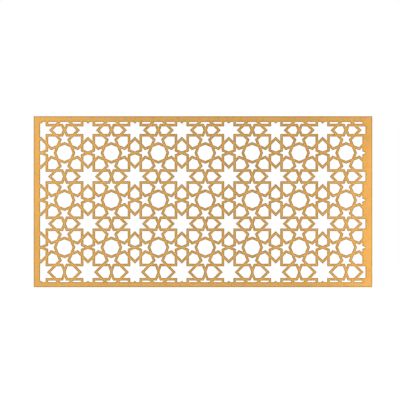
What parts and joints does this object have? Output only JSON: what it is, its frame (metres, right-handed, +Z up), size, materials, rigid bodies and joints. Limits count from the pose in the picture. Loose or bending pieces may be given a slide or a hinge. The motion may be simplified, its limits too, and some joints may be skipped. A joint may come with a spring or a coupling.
{
  "type": "mashrabiya screen",
  "caption": "Flat rectangular screen with a gold finish, pierced by a geometric lattice of stars, octagons and petals inside a plain border, made to be fixed over a window or an opening.",
  "frame": {"origin": "on the back face, in the middle of the top border", "axes": "+X along the screen, to the right as seen from the front; +Y out of the back face; +Z up"},
  "size_m": [1.2, 0.006, 0.606],
  "materials": {
    "gold_sheet": "satin gold coat on a cut metal sheet"
  },
  "bodies": {
    "root": {"screen_panel": "gold_sheet"}
  },
  "joints": []
}
